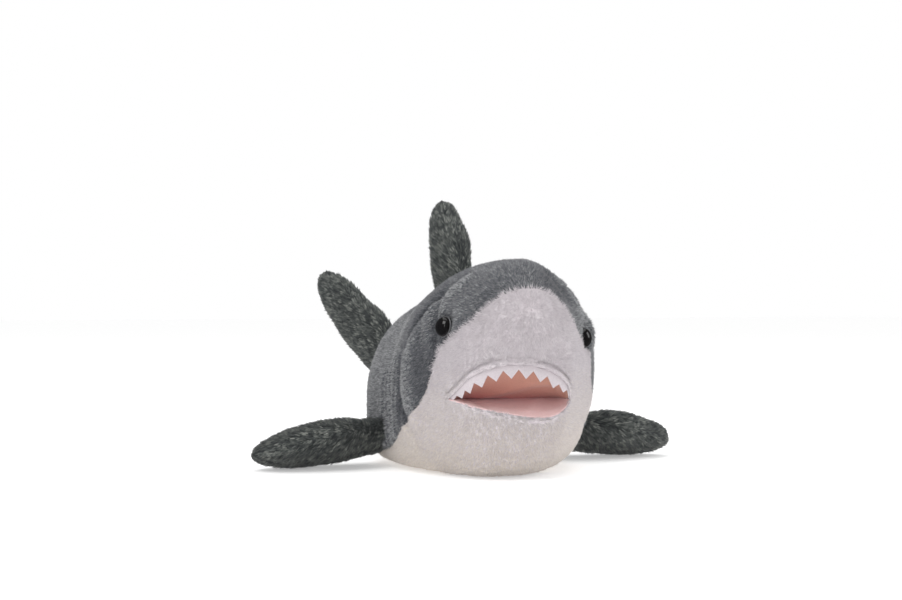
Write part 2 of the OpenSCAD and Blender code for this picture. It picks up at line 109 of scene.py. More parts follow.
def smooth(table, column, s):
    """Value of a column at station s, on a smooth curve through the rows."""
    t, s = table, np.asarray(s, float)
    i = np.clip(np.searchsorted(t[:, 0], s, side="right") - 1, 0, len(t) - 2)
    p, n = np.maximum(i - 1, 0), np.minimum(i + 2, len(t) - 1)
    w = t[i + 1, 0] - t[i, 0]
    u = np.clip((s - t[i, 0]) / w, 0, 1)
    ma = (t[i + 1, column] - t[p, column]) / (t[i + 1, 0] - t[p, 0]) * w
    mb = (t[n, column] - t[i, column]) / (t[n, 0] - t[i, 0]) * w
    return ((2 * u**3 - 3 * u**2 + 1) * t[i, column] + (u**3 - 2 * u**2 + u) * ma
            + (-2 * u**3 + 3 * u**2) * t[i + 1, column] + (u**3 - u**2) * mb)


def ease(t):
    t = np.clip(t, 0, 1)
    return t * t * (3 - 2 * t)


def bump(x, width):
    """1 at 0, falling to either side over about the width."""
    return np.exp(-(x / width) ** 2)


def window(x, low, high, soft):
    """1 from low to high, falling to 0 over soft at either side."""
    return ease((x - low) / soft + 0.5) * ease((high - x) / soft + 0.5)


LEFT_WHITE = 17.0  # mm that the white reaches further back on the left cheek


def grey_a(s, side=1):
    """Angle where grey meets white."""
    s = np.asarray(s, float)
    late = np.where(np.asarray(side) < 0, LEFT_WHITE, 0.0) * ease((s - 38) / 32) * ease((122 - s) / 30)
    return smooth(GREY_LINE, 1, s - late)


def power(x, n):
    """x to the power n, with the sign of x."""
    return np.sign(x) * np.abs(x) ** n


def unit(v):
    return v / np.maximum(np.linalg.norm(v, axis=-1, keepdims=True), 1e-9)


def plain_skin(s, a, d=0.0):
    """Point of the straight body's surface, d under it."""
    s, a = np.broadcast_arrays(np.asarray(s, float), np.asarray(a, float))
    nose = np.where(s >= NOSE_LEN, 1, np.sqrt(np.clip(1 - (1 - s / NOSE_LEN) ** 2, 0, 1)))
    half_w = smooth(ENVELOPE, 1, s) * nose + 0.6
    mid = SNOUT_Z + (smooth(ENVELOPE, 2, s) - SNOUT_Z) * np.minimum(1, s / 12)
    top = SNOUT_Z + (smooth(ENVELOPE, 3, s) - SNOUT_Z) * nose + 0.6
    low = SNOUT_Z + (smooth(ENVELOPE, 4, s) - SNOUT_Z) * np.clip(s / CHIN_LEN, 0, 1) ** 0.6 - 0.6
    c, si = np.cos(np.radians(a)), np.sin(np.radians(a))
    e = np.where(c < 0, smooth(ENVELOPE, 6, s), smooth(ENVELOPE, 5, s))
    h = np.where(c < 0, mid - low, top - mid)
    x = np.maximum(half_w - d, 0.3) * power(si, e)
    z = mid + np.maximum(h - d, 0.3) * power(c, e)
    return np.stack([-x, s - ORIGIN_S, np.maximum(z, d + np.where(s > 90, 0, 0.9))], -1)


def outward(s, a):
    along = plain_skin(s + 0.5, a) - plain_skin(s - 0.5, a)
    return unit(np.cross(along, plain_skin(s, a + 1) - plain_skin(s, a - 1)))


PHASES = rng.uniform(0, 2 * math.pi, (12, 3))
WAVES = unit(rng.normal(size=(12, 3))) * rng.uniform(0.05, 0.16, (12, 1))


def lumps(p):
    """Soft unevenness of the filling, about -1 to 1."""
    total = np.zeros(p.shape[:-1])
    for wave, phase in zip(WAVES, PHASES):
        total += np.sin(p @ wave + phase[0])
    return total / 3.5


GILLS = (101.0, 109.0, 117.5, 126.5, 136.0)


# The eyes, by side: station and angle
EYES = {1: (47.8, 73.4), -1: (57.0, -78.5)}
# Crest of the neck fold: station at each angle
FOLD_A, FOLD_S = (40, 56, 69, 81, 88, 96, 108, 120), (50, 58, 70, 79, 86, 87, 83, 80)


def relief(s, a):
    """How far seams, tucks and folds lift the skin, in mm."""
    m, side = np.abs(a), np.sign(a)
    reach = 0.9  # mm for a degree, roughly
    h = -0.7 * bump(m * reach, 1.6) * window(s, 8, 300, 4)  # seam along the spine
    h -= 0.12 * bump((180 - m) * reach, 1.2) * window(s, -5, 16, 4)  # seam under the snout
    h -= 0.8 * bump((m - grey_a(s, side)) * reach, 1.6) * window(s, 9, 300, 4)  # where grey meets white
    # Eye sockets, with the tuck behind each
    eye_s = np.where(side > 0, EYES[1][0], EYES[-1][0])
    eye_a = np.where(side > 0, EYES[1][1], -EYES[-1][1])
    near = np.hypot(s - eye_s, (m - eye_a) * reach)
    h -= 2.6 * bump(near, 7.5)
    h += 1.3 * bump(near - 11.5, 3.2) * window(m, 30, 78, 8)
    tuck = s - eye_s - (8.5 + 1.2 * np.sin(np.radians((m - 30) * 2.2)) - 0.0035 * np.clip(m - 66, 0, 40) ** 2)
    h -= 2.6 * bump(tuck, 1.7) * window(m, 34, 86, 12)
    h += 1.6 * bump(tuck - 5, 3.2) * window(m, 34, 84, 12)
    # Fold where the turned head meets the torso, deeper on the inside of the turn
    fold = s - np.interp(m, FOLD_A, FOLD_S)
    deep = np.where(side > 0, 1.0, 0.45)
    h -= deep * 6.5 * bump(fold - 8.5, 4.0) * window(m, 34, 114, 26)
    h += deep * 3.4 * bump(fold + 3, 6.5) * window(m, 34, 114, 26)
    # The torso swells behind it, and the far cheek stands out
    h += np.where(side > 0, 3.2, 1.2) * window(s, 108, 190, 26) * window(m, 40, 132, 40)
    h += np.where(side > 0, 0.0, 1.6) * window(s, 46, 82, 24) * window(m, 60, 96, 20)
    # The left brow is flatter
    h -= np.where(side < 0, 3.0, 0.0) * window(s, 10, 46, 16) * window(m, 20, 60, 24)
    # The chin's fullness, and a soft crease above the upper lip
    h += 2.6 * window(s, 48, 96, 26) * window(m, 138, 222, 50)
    h += np.where(side > 0, 4.0, 0.0) * window(s, 52, 122, 40) * window(m, 118, 166, 40)
    p = plain_skin(s, a, PILE_D)
    across = np.abs(p[..., 0] - MOUTH_X)
    above = p[..., 2] - upper_edge(across, s)
    lip = window(across, -60, 37, 5) * (s < 48) * (m > 86)
    h -= lip * (1.5 * bump(above - 3.7, 1.2) - 0.6 * bump(above - 1.2, 1.6))
    # Gill tucks
    for g in GILLS:
        h -= 2.2 * bump(s - g, 1.7) * window(m, 78, 112, 9)
        h += 1.0 * bump(s - g - 4, 2.4) * window(m, 78, 112, 9)
    return h


def skin(s, a, d=0.0):
    """Point of the straight body's surface with its folds."""
    p = plain_skin(s, a, d)
    n = outward(s, a)
    q = p + n * (relief(s, a) + 0.7 * lumps(p) * window(s, 25, 300, 20))[..., None]
    q[..., 2] = np.maximum(q[..., 2], d)
    return q


def turned(p, pivot_y, degrees):
    """Points turned about an upright axis, by an angle each."""
    th = np.radians(degrees)
    c, si = np.cos(th), np.sin(th)
    x, y = p[..., 0], p[..., 1] - pivot_y
    return np.stack([x * c - y * si, x * si + y * c + pivot_y, p[..., 2]], -1)


# Where the skin goes over from one body to the next, by y in mm
NECK_FROM, NECK_TO = -10.0, -54.0
TAIL_FROM, TAIL_TO = 80.0, 118.0
MIDDLE_S, END_S = 180.0, 281.5


def at_rest(p):
    """Bends the straight body to its rest pose."""
    y = p[..., 1]
    head = ease((y - NECK_FROM) / (NECK_TO - NECK_FROM))
    tail = ease((y - TAIL_FROM) / (TAIL_TO - TAIL_FROM))
    return turned(turned(p, NECK_Y, HEAD_TURN * head), TAIL_Y, TAIL_SWING * tail)


def on_head(p):
    return turned(np.asarray(p, float), NECK_Y, HEAD_TURN)


def rotation(axis, degrees):
    c, s = math.cos(math.radians(degrees)), math.sin(math.radians(degrees))
    i, j = {"x": (1, 2), "y": (2, 0), "z": (0, 1)}[axis]
    m = np.eye(3)
    m[i, i], m[i, j], m[j, i], m[j, j] = c, -s, s, c
    return m


# ---- Meshes ----


def new_mesh(name, verts, faces, materials, index=None, smooth_shade=True, normals=None):
    """Object from points in mm and triangles or quads."""
    me = bpy.data.meshes.new(name)
    verts = np.asarray(verts, np.float32) * TO_M
    faces = np.asarray(faces, np.int32)
    me.vertices.add(len(verts))
    me.vertices.foreach_set("co", verts.ravel())
    me.loops.add(faces.size)
    me.loops.foreach_set("vertex_index", faces.ravel())
    me.polygons.add(len(faces))
    me.polygons.foreach_set("loop_start", np.arange(0, faces.size, faces.shape[1], dtype=np.int32))
    if index is not None:
        me.polygons.foreach_set("material_index", np.asarray(index, np.int32))
    me.polygons.foreach_set("use_smooth", np.full(len(faces), smooth_shade))
    me.update(calc_edges=True)
    me.validate()
    if normals is not None:
        me.normals_split_custom_set_from_vertices(np.asarray(normals, np.float32))
    ob = bpy.data.objects.new(name, me)
    bpy.context.scene.collection.objects.link(ob)
    for m in materials:
        me.materials.append(m)
    return ob


def grid_faces(m, n, closed=False):
    """Quads of an m by n grid of points, whose columns may close to a ring."""
    i, j = np.meshgrid(np.arange(m - 1), np.arange(n if closed else n - 1), indexing="ij")
    i, j = i.ravel(), j.ravel()
    k = (j + 1) % n
    return np.stack([i * n + j, i * n + k, (i + 1) * n + k, (i + 1) * n + j], -1)


def grid_normals(p):
    du = np.gradient(p, axis=0)
    dv = np.gradient(p, axis=1)
    return unit(np.cross(du, dv))


def closed_sheet(name, outer, inner, material, smooth_shade=True):
    """Closed mesh between two grids of points."""
    m, n = outer.shape[:2]
    front, k, last = grid_faces(m, n), m * n, (m - 1) * n
    i, j = np.arange(m - 1) * n, np.arange(n - 1)
    rims = [
        np.stack([i, i + n, k + i + n, k + i], -1),
        np.stack([i + 2 * n - 1, i + n - 1, k + i + n - 1, k + i + 2 * n - 1], -1),
        np.stack([j + 1, j, k + j, k + j + 1], -1),
        np.stack([last + j, last + j + 1, k + last + j + 1, k + last + j], -1),
    ]
    faces = np.concatenate([front, front[:, ::-1] + k, *rims])
    verts = np.concatenate([outer.reshape(-1, 3), inner.reshape(-1, 3)])
    return new_mesh(name, verts, faces[:, ::-1], [material], smooth_shade=smooth_shade)


def shell(name, p, material, thick=1.2):
    """Closed fabric sheet from a grid of outer points.

    The grid's normals point out where rows run back and columns run from the right flank down.
    """
    return closed_sheet(name, p, p - grid_normals(p) * thick, material)


# ---- Materials ----


def srgb(r, g, b):
    linear = [((c / 255 + 0.055) / 1.055) ** 2.4 if c > 10.3 else c / 255 / 12.92 for c in (r, g, b)]
    return (*linear, 1.0)


def principled(name, colour, roughness=0.9, sheen=0.0, coat=0.0):
    m = bpy.data.materials.new(name)
    m.use_nodes = True
    shine = 0.2 if roughness > 0.5 else 0.5
    for socket, value in (("Base Color", colour), ("Roughness", roughness), ("Sheen Weight", sheen),
                          ("Sheen Roughness", 0.5), ("Coat Weight", coat), ("Specular IOR Level", shine)):
        m.node_tree.nodes["Principled BSDF"].inputs[socket].default_value = value
    m.diffuse_color = colour
    return m


def noise(nt, scale, detail, rough):
    co = nt.nodes.new("ShaderNodeTexCoord")
    n = nt.nodes.new("ShaderNodeTexNoise")
    for socket, value in (("Scale", scale), ("Detail", detail), ("Roughness", rough)):
        n.inputs[socket].default_value = value
    nt.links.new(co.outputs["Object"], n.inputs["Vector"])
    return n.outputs["Fac"]


def ramp(nt, fac, stops):
    r = nt.nodes.new("ShaderNodeValToRGB")
    e = r.color_ramp.elements
    while len(e) < len(stops):
        e.new(0.5)
    for item, (pos, colour) in zip(e, stops):
        item.position, item.color = pos, colour
    nt.links.new(fac, r.inputs["Fac"])
    return r.outputs["Color"]


def grained(m, grain, stops):
    """Colours a material by a noise of given scale, detail and roughness, and returns the noise."""
    nt = m.node_tree
    fac = noise(nt, *grain)
    nt.links.new(ramp(nt, fac, stops), nt.nodes["Principled BSDF"].inputs["Base Color"])
    return fac


def mix(nt, kind, factor, a, b):
    m = nt.nodes.new("ShaderNodeMix")
    m.data_type, m.blend_type = "RGBA", kind
    m.inputs["Factor"].default_value = factor
    nt.links.new(a, m.inputs["A"])
    nt.links.new(b, m.inputs["B"])
    return m.outputs["Result"]


def add_bump(m, fac, strength, distance):
    nt = m.node_tree
    b = nt.nodes.new("ShaderNodeBump")
    b.inputs["Strength"].default_value = strength
    b.inputs["Distance"].default_value = distance
    nt.links.new(fac, b.inputs["Height"])
    nt.links.new(b.outputs["Normal"], nt.nodes["Principled BSDF"].inputs["Normal"])


def fabric(name, dark, mid, light):
    """Backing of the pile: fine fibres over broad cloudy shades, with their bump."""
    m = principled(name, mid, 0.95, 0.15)
    nt = m.node_tree
    fibre = noise(nt, 900, 4, 0.65)
    cloud = noise(nt, 90, 2, 0.5)
    colour = mix(nt, "OVERLAY", 0.35, ramp(nt, fibre, [(0.3, dark), (0.5, mid), (0.72, light)]),
                 ramp(nt, cloud, [(0.3, (0.35, 0.35, 0.35, 1)), (0.7, (0.62, 0.62, 0.62, 1))]))
    nt.links.new(colour, nt.nodes["Principled BSDF"].inputs["Base Color"])
    add_bump(m, fibre, 0.6, 0.0006)
    return m


def shades(name, colours):
    """One plain material for each shade of a pile."""
    return [principled(f"{name}_{i}", srgb(*c), 0.88, 0.12) for i, c in enumerate(colours)]


GREY_BASE = fabric("grey_backing", srgb(56, 58, 62), srgb(78, 80, 84), srgb(104, 106, 110))
WHITE_BASE = fabric("white_backing", srgb(186, 178, 182), srgb(200, 192, 196), srgb(212, 206, 208))
CREAM_BASE = fabric("cream_backing", srgb(198, 188, 178), srgb(212, 202, 192), srgb(222, 214, 205))
FIN_BASE = fabric("fin_backing", srgb(44, 47, 48), srgb(60, 63, 63), srgb(80, 83, 82))
GREY_PILE = shades("grey_pile", [(66, 67, 72), (84, 85, 90), (98, 99, 103), (112, 113, 116), (130, 131, 133),
                                 (154, 155, 156)])
# White, in four steps from the cool top to the warm belly
WHITE_PILE = [m for k in range(4) for m in shades(f"white_pile_{k}", [
    tuple(c * (1 - k / 3) + w * k / 3 for c, w in zip(cool, warm))
    for cool, warm in (((184, 177, 182), (206, 195, 185)), ((192, 185, 189), (213, 203, 193)),
                       ((198, 191, 195), (220, 210, 200)), ((206, 200, 203), (227, 218, 208)))])]
FIN_PILE = shades("fin_pile", [(50, 53, 54), (64, 67, 67), (77, 80, 79), (91, 94, 91), (109, 112, 108),
                               (134, 136, 131)])

# ---- Pile ----


def triangles(faces):
    faces = np.asarray(faces)
    if faces.shape[1] == 4:
        faces = np.concatenate([faces[:, [0, 1, 2]], faces[:, [0, 2, 3]]])
    return faces


def scatter(verts, faces, normals, flows, per_mm2, keep=None, extra=None):
    """Random roots over a mesh in mm: points, normals and lie of the pile, and the extra columns."""
    tris = triangles(faces)
    a, b, c = verts[tris[:, 0]], verts[tris[:, 1]], verts[tris[:, 2]]
    area = np.linalg.norm(np.cross(b - a, c - a), axis=1) / 2
    if keep is not None:
        area = area * keep[tris].mean(1)
    count = int(area.sum() * per_mm2)
    which = rng.choice(len(tris), count, p=area / area.sum())
    u, v = rng.random(count), rng.random(count)
    u, v = np.where(u + v > 1, 1 - u, u)[:, None], np.where(u + v > 1, 1 - v, v)[:, None]
    t = tris[which]

    def at(x):
        return x[t[:, 0]] * (1 - u - v) + x[t[:, 1]] * u + x[t[:, 2]] * v

    n = unit(at(normals))
    f = at(flows)
    f = unit(f - n * (f * n).sum(1, keepdims=True))
    if extra is None:
        return at(verts), n, f
    return at(verts), n, f, at(extra)


def clumps(roots, spacing):
    """For each root, the nearest of fewer random roots, as an index."""
    count = max(8, int(len(roots) / spacing))
    chosen = rng.choice(len(roots), count, replace=False)
    tree = kdtree.KDTree(count)
    for i, k in enumerate(chosen):
        tree.insert(roots[k], i)
    tree.balance()
    return chosen[np.array([tree.find(p)[1] for p in roots])]


def pile(name, roots, n, f, length, width, lean, materials, spread=0.35, gather=0.0, clump=9.0, curl=0.0,
         weights=None, streak=0.6, soft=0.75, tint=None, painted_shading=0.0):
    """Closed tapering tufts leaning from the normal n towards f, with a length and a lean for each root.

    A root's painted light and shade make its colour lighter or darker. With a tint from 0 to 1, the materials
    are four palettes in a row, and the tint says which of them a root takes.
    """
    count = len(roots)
    length = np.broadcast_to(length, count) * rng.uniform(0.72, 1.2, count)
    lean = np.radians(np.broadcast_to(lean, count) + rng.normal(0, 9, count))
    side = unit(np.cross(n, f))
    swing = rng.normal(0, spread, count)
    f = unit(f * np.cos(swing)[:, None] + side * np.sin(swing)[:, None])
    side = unit(np.cross(n, f))
    d = n * np.cos(lean)[:, None] + f * np.sin(lean)[:, None]
    tip = roots + d * length[:, None]
    home = clumps(roots, clump)
    if gather:
        goal = tip[home]
        tip = tip + (goal - tip) * (gather * rng.uniform(0.5, 1.0, count))[:, None]
    base = roots - n * 0.4
    w = width * rng.uniform(0.75, 1.25, count)[:, None]
    ring = [base + side * w * 0.5 + f * w * 0.2, base - side * w * 0.5 + f * w * 0.2, base - f * w * 0.45]
    outs = [side, -side, n * 0.8 - f * 0.6]
    if curl:
        lift = n * (length * curl)[:, None]
        mid = (base + tip) / 2 + lift
        rings = ring + [mid + (r - base) * 0.8 for r in ring] + [tip]
        faces = [(0, 4, 1), (0, 3, 4), (1, 5, 2), (1, 4, 5), (2, 3, 0), (2, 5, 3), (3, 6, 4), (4, 6, 5),
                 (5, 6, 3), (0, 1, 2)]
        shade_normals = outs + outs + [n]
    else:
        rings = ring + [tip]
        faces = [(0, 3, 1), (1, 3, 2), (2, 3, 0), (0, 1, 2)]
        shade_normals = outs + [n]
    per = len(rings)
    verts = np.stack(rings, 1).reshape(-1, 3)
    normals = unit(np.stack([n * soft + o * (1 - soft) for o in shade_normals], 1)).reshape(-1, 3)
    faces = (np.array(faces)[None] + np.arange(count)[:, None, None] * per).reshape(-1, 3)
    # Shade: part of it is the clump's own, so that light and dark gather in streaks
    own, shared = rng.random(count), rng.random(count)[home]
    # Painted light and painted shade of the root lift or lower its level
    level = streak * shared + (1 - streak) * own + painted_shading
    order = np.argsort(np.argsort(level)) / count
    edges = np.cumsum(weights) / np.sum(weights)
    index = np.minimum(np.searchsorted(edges, order), len(weights) - 1)
    if tint is not None:
        palette = np.clip(np.round(3 * tint + rng.uniform(-0.5, 0.5, count)), 0, 3).astype(int)
        index = index + len(weights) * palette
    per_face = np.repeat(index, len(faces) // count)
    return new_mesh(name, verts, faces, materials, per_face, normals=normals)


def flat_grid(p):
    """Points, faces, normals and row direction of a grid, for scatter."""
    normals = grid_normals(p)
    flow = unit(np.gradient(p, axis=0))
    m, n = p.shape[:2]
    return p.reshape(-1, 3), grid_faces(m, n), normals.reshape(-1, 3), flow.reshape(-1, 3)


# ---- Riders: head pieces go on the head's empty, the rest are baked in place ----


def ride_head(ob):
    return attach(ob, "head")


def bend():
    """A rider that only bakes a piece's placement into its points."""
    return lambda ob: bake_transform(ob)


ride_neck = bend()
ride_tail = bend()
ride_jaw = bend()


def dress(ob, rider, slot, fill, *nodes):
    """Gives a padded skin to its rider and hides the CAD nodes that it stands for. Its finish and its fill
    are not used.
    """
    rider(ob)
    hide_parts(*nodes)


# ---- The torso's and the head's fabric ----


def row_stations(low, high, step):
    return np.linspace(low, high, max(2, int(round((high - low) / step)) + 1))


def run_along(p):
    """Distance along a line of points, from its start."""
    return np.concatenate([[0], np.cumsum(np.linalg.norm(np.diff(p, axis=0), axis=1))])


def columns(a0, a1, count):
    """Angles between two edges that vary along the rows."""
    t = np.linspace(0, 1, count)[None]
    return np.asarray(a0)[:, None] * (1 - t) + np.asarray(a1)[:, None] * t


def signed(a):
    return np.where(a > 180, a - 360, a)


def body_grid(s, a0, a1, count):
    a = signed(columns(a0, a1, count))
    return at_rest(skin(np.broadcast_to(s[:, None], a.shape), a, PILE_D))


MOUTH_X = -4.0  # the opening sits a little to the shark's right


def first_below(s, height, side):
    """Angle from the top, on one side, where the skin at each station first drops below height(x, s)."""
    found = []
    angles = np.linspace(88, 180, 500)
    for x in np.atleast_1d(s):
        p = plain_skin(x, angles * side, PILE_D)
        f = p[:, 2] - height(p[:, 0] - MOUTH_X, x)
        k = np.flatnonzero(f < 0)
        if len(k) == 0:
            found.append(180.0)
        elif k[0] == 0:
            found.append(angles[0])
        else:
            i = k[0]
            found.append(angles[i - 1] + (angles[i] - angles[i - 1]) * f[i - 1] / (f[i - 1] - f[i]))
    return np.array(found)


def share(s):
    return smooth(ARCH, 1, s)


def upper_edge(x, s):
    """Height of the upper lip, x to the side of the mouth's middle at station s."""
    inside = np.sqrt(np.clip(1 - (x / MOUTH_HALF_W) ** 2, 0, 1))
    return np.where(np.abs(x) < MOUTH_HALF_W, MOUTH_Z - 0.4 + share(s) * MOUTH_RISE * inside, MOUTH_Z - 0.6)


def lower_drop(x):
    """Drop of the lower lip, which hangs lowest left of its middle."""
    u = np.clip(x / MOUTH_HALF_W, -1, 1)
    return MOUTH_DROP * 1.2 * (1 - u**2) ** 0.6 * (0.68 + 0.5 * u + 0.3 * u**2)


def lower_edge(x, s):
    return np.where(np.abs(x) < MOUTH_HALF_W, MOUTH_Z - 0.4 - share(s) * lower_drop(x), MOUTH_Z - 0.6)


# Crown and back, grey
CROWN_ROWS = np.concatenate([row_stations(5.25, 9, 0.3), row_stations(9.6, 24, 0.9),
                             row_stations(25, MIDDLE_S, 1.1)])
crown = body_grid(CROWN_ROWS, -grey_a(CROWN_ROWS, -1), grey_a(CROWN_ROWS), 121)
crown_skin = shell("crown_skin", crown, GREY_BASE)
BACK_ROWS = row_stations(MIDDLE_S, END_S, 1.6)
back = body_grid(BACK_ROWS, -grey_a(BACK_ROWS), grey_a(BACK_ROWS), 121)
back_skin = shell("back_skin", back, GREY_BASE)
dress(crown_skin, ride_neck, "grey_plush", 0.8, "crown_panel_right", "crown_panel_left",
      "gill_stitches_right", "gill_stitches_left", "head_stuffing")
dress(back_skin, ride_tail, "grey_plush", 0.8, "back_panel_right", "back_panel_left",
      "tail_panel_right", "tail_panel_left", "torso_stuffing", "tail_stuffing")


EYE_AT = {side: on_head(plain_skin(*EYES[side])) for side in EYES}


def bare_eyes(verts):
    """0 under the eyes, where no pile grows, and 1 elsewhere."""
    near = np.minimum(*(np.linalg.norm(verts - EYE_AT[side], axis=1) for side in EYES))
    return ease((near - 6.2) / 1.6)


def grey_pile(name, p, rows, rider, per_mm2=2.1):
    """Pile of the grey fabric, with painted shade in deep folds and painted light on crests."""
    verts, faces, n, f = flat_grid(p)
    rows = rows[:, None]
    a = columns(-grey_a(rows[:, 0], -1), grey_a(rows[:, 0]), 121)
    # Painted shade where the skin sinks into folds, painted light on crests and on the torso behind the head
    light = np.clip(relief(rows, a) / 7, -0.35, 0.4) + 0.12 * ease((rows - 96) / 16)
    # Painted shade on the head's side behind the eye
    light -= 0.25 * window(rows, 56, 74, 8) * window(a, 58, 112, 12)
    roots, n, f, light = scatter(verts, faces, n, f, per_mm2, bare_eyes(verts), light.reshape(-1, 1))
    ob = pile(name, roots, n, f, 2.3, 0.62, 60, GREY_PILE,
              weights=[0.8, 1.6, 2.2, 2.2, 1.4, 0.6], streak=0.35, gather=0.25, clump=6,
              painted_shading=light[:, 0])
    rider(ob)
    return ob


cut = int(np.searchsorted(CROWN_ROWS, 66))
cut2 = int(np.searchsorted(CROWN_ROWS, 122))
grey_pile("crown_pile", crown[:cut + 1], CROWN_ROWS[:cut + 1], ride_neck)
grey_pile("neck_pile", crown[cut:cut2 + 1], CROWN_ROWS[cut:cut2 + 1], ride_neck, 2.0)
grey_pile("shoulder_pile", crown[cut2:], CROWN_ROWS[cut2:], ride_neck, 1.7)
grey_pile("back_pile", back, BACK_ROWS, ride_tail, 1.5)

# Muzzle, white, in two halves
LIP_S0 = 17.9
SNOUT_ROWS = NOSE_LEN * (1 - np.sqrt(1 - np.linspace(0.012, 0.56, 12) ** 2))
MUZZLE_ROWS = np.concatenate([SNOUT_ROWS, row_stations(5.6, 9, 0.35), row_stations(9.8, LIP_S0, 0.9),
                              LIP_S0 + 24 * np.linspace(0.06, 1, 34) ** 2, row_stations(43, 68.5, 1.2)])


def white_pile(name, roots, n, f, length, lean, rider, width=0.6, spread=0.5, gather=0.3, soft=0.92,
               cream=1.0, painted_shading=0.0):
    """Pile of the white fabric, creamier towards the floor."""
    warm = np.clip((70 - roots[:, 2]) / 75, 0, 0.85)
    ob = pile(name, roots, n, f, length, width, lean, WHITE_PILE, spread=spread, gather=gather, soft=soft,
              weights=[0.5, 1.5, 2, 1.2], streak=0.25, tint=warm * cream, painted_shading=painted_shading)
    rider(ob)


for side, word in ((1, "right"), (-1, "left")):
    rows = MUZZLE_ROWS if side > 0 else np.concatenate([MUZZLE_ROWS, row_stations(69.7, 85.7, 1.2)])
    top = np.where(rows < 5.2, 0.0, grey_a(rows, side))
    low = first_below(rows, upper_edge, side)
    p = body_grid(rows, top * side, (np.maximum(low, top) + 0.6) * side, 64)
    edge = columns(rows * 0, rows * 0 + 64, 64)  # columns from the grey edge
    if side < 0:
        p, edge = p[:, ::-1], edge[:, ::-1]
    ob = shell(f"muzzle_skin_{word}", p, WHITE_BASE)
    dress(ob, ride_head, "white_plush", 0.8, f"muzzle_panel_{word}")
    verts, faces, n, f = flat_grid(p)
    brow = np.clip(1 - edge / 9, 0, 1) * window(rows, 4.5, 60, 3)[:, None]
    flat = plain_skin(rows[:, None], columns(top * side, low * side, 64))
    above = flat[..., 2] - upper_edge(flat[..., 0] - MOUTH_X, rows[:, None])
    if side < 0:
        above = above[:, ::-1]
    band = window(above, -9, 3.0, 1.5) * (rows < 42)[:, None]
    extra = np.stack([brow.ravel(), band.ravel()], -1)
    roots, n, f, extra = scatter(verts, faces, n, f, 3.0, bare_eyes(verts), extra)
    tuft, band = extra.T
    # Longer tufts along the brow, where the white laps over the grey
    f = unit(f + (np.array([0, 0.5, 1.0]) - f) * (0.75 * tuft)[:, None])
    f = unit(f - n * (f * n).sum(1, keepdims=True))
    white_pile(f"muzzle_pile_{word}", roots, n, f, 2.1 + 2.4 * tuft - 1.0 * band, 58 - 6 * tuft, ride_head)


def corner_station(side):
    """Station of the mouth's corner: where the skin at its height is as wide as the opening."""
    s = np.linspace(24, 60, 361)
    a = first_below(s, lambda x, q: MOUTH_Z - 0.5 + 0 * x, side)
    x = np.abs(plain_skin(s, a * side, PILE_D)[:, 0] - MOUTH_X)
    return float(s[np.flatnonzero(x > MOUTH_HALF_W + 0.4)[0]])


def lip_curve(edge, s0, side, count):
    """Stations and signed angles along a lip from the middle to its corner, evenly spaced."""
    s = s0 + (corner_station(side) - s0) * np.linspace(0, 1, 160) ** 2
    a = first_below(s, edge, side)
    run = run_along(plain_skin(s, a * side, PILE_D))
    q = np.linspace(0, run[-1], count)
    return np.interp(q, run, s), np.interp(q, run, a)


def both_sides(edge, s0, count):
    """The whole lip from the right corner to the left: stations, and angles from 0 to 360."""
    (rs, ra), (ls, la) = lip_curve(edge, s0, 1, count), lip_curve(edge, s0, -1, count)
    return np.concatenate([rs[::-1], ls[1:]]), np.concatenate([ra[::-1], 360 - la[1:]])


# Station where the lower lip crosses the middle
chin_probe = np.linspace(20, 34, 400)
below = plain_skin(chin_probe, 180, PILE_D)[:, 2] < lower_edge(-MOUTH_X, chin_probe)
LOWER_S0 = float(chin_probe[np.flatnonzero(below)[0]])
lower_s, lower_a = both_sides(lower_edge, LOWER_S0, 46)
upper_s, upper_a = both_sides(upper_edge, LIP_S0 + 0.05, 50)
lower_x = plain_skin(lower_s, signed(lower_a), PILE_D)[:, 0]
upper_x = plain_skin(upper_s, signed(upper_a), PILE_D)[:, 0]

# Chin and throat, white: from the lower lip back to where the belly starts
BELLY_S = 84.0


def side_a(s, side=1):
    """Upper edge of the white under the cheek seam, then along the grey."""
    seam = first_below(s, lambda x, q: MOUTH_Z - 0.6 + 0 * x, 1)
    return np.maximum(seam, grey_a(s, side))


CHIN_V = np.linspace(0, 1, 52) ** 1.15  # rows from the lip, 0, to the belly, 1


def chin_grid():
    v = CHIN_V[:, None]
    half = len(lower_s) // 2
    parts = []
    for side in (1, -1):
        lip_s, lip_a = lower_s[half:], 360 - lower_a[half:]
        if side > 0:
            lip_s, lip_a = lower_s[half::-1], lower_a[half::-1]
        k = np.linspace(0, 1, len(lip_s))[None]
        s = lip_s[None] + (BELLY_S - lip_s[None]) * v
        end = 180 - side_a(BELLY_S, side)
        along = side_a(lip_s[-1] + (BELLY_S - lip_s[-1]) * v[:, 0], side)
        drift = (180 - along) - ((180 - lip_a[-1]) * (1 - v[:, 0]) + end * v[:, 0])
        parts.append((s, (180 - lip_a[None]) * (1 - v) + end * k * v + drift[:, None] * k**3))
    s = np.concatenate([parts[0][0][:, ::-1], parts[1][0][:, 1:]], 1)
    a = np.concatenate([180 - parts[0][1][:, ::-1], 180 + parts[1][1][:, 1:]], 1)
    return at_rest(skin(s, signed(a), PILE_D))


chin = chin_grid()
chin_skin = shell("chin_skin", chin, WHITE_BASE)
dress(chin_skin, ride_jaw, "white_plush", 0.8, "chin_panel", "throat_panel", "jaw_stuffing")
verts, faces, n, f = flat_grid(chin)
